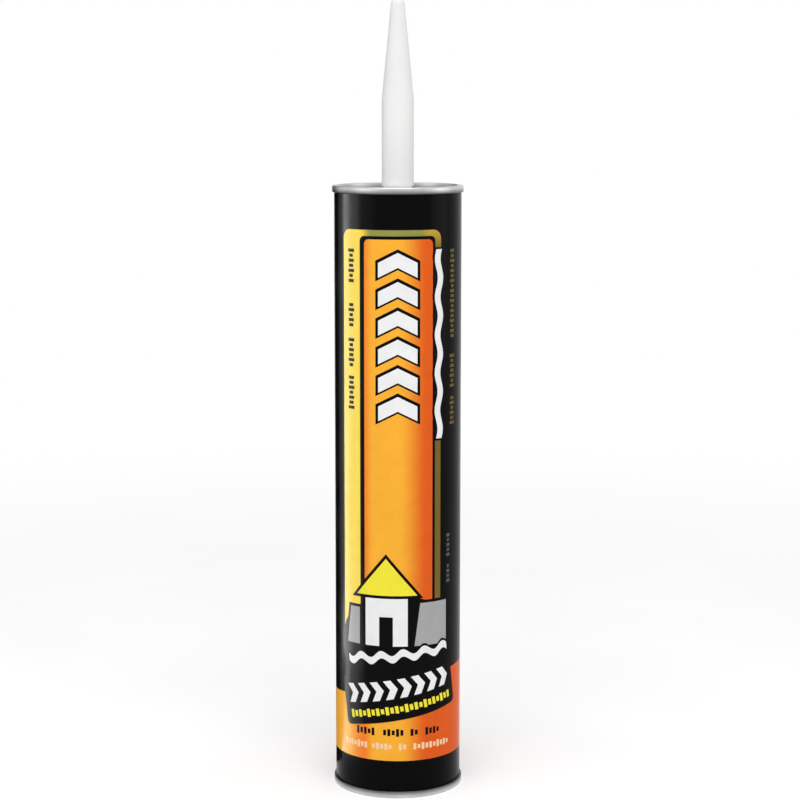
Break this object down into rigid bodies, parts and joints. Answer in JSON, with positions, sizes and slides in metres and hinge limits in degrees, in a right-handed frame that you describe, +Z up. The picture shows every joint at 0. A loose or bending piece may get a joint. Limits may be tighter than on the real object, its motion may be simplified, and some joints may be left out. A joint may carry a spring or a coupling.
{
  "type": "construction adhesive cartridge",
  "caption": "Cylindrical fibre cartridge with double-seamed metal rims, a sealed tapered nozzle on one end and a sliding plunger in the other.",
  "frame": {"origin": "centre of the face that the cartridge stands on, the outer face of its bottom ring", "axes": "+Z up the tube's axis to the nozzle, -Y the front of the printed wrap, +X its right-hand side seen from the front"},
  "size_m": [0.0662, 0.0662, 0.4019],
  "materials": {
    "fibreboard": "spiral-wound fibreboard",
    "printed_wrap": "gloss-varnished print, black ground",
    "tinplate": "bright tinplate",
    "nozzle_plastic": "natural white polyethylene, satin",
    "foil": "bright foil",
    "plunger_plastic": "natural white polyethylene, satin",
    "paste": "thick tan paste"
  },
  "bodies": {
    "cartridge": {"tube_body": "fibreboard", "label_wrap": "printed_wrap", "top_end": "tinplate", "bottom_ring": "tinplate", "nozzle": "nozzle_plastic", "foil_seal": "foil", "adhesive": "paste"},
    "plunger": {"plunger": "plunger_plastic"}
  },
  "joints": [
    {"name": "plunger_slide", "type": "slide", "parent": "cartridge", "child": "plunger", "axis": [0, 0, 1], "range_m": [0, 0.2786], "deforming": ["adhesive"]}
  ]
}
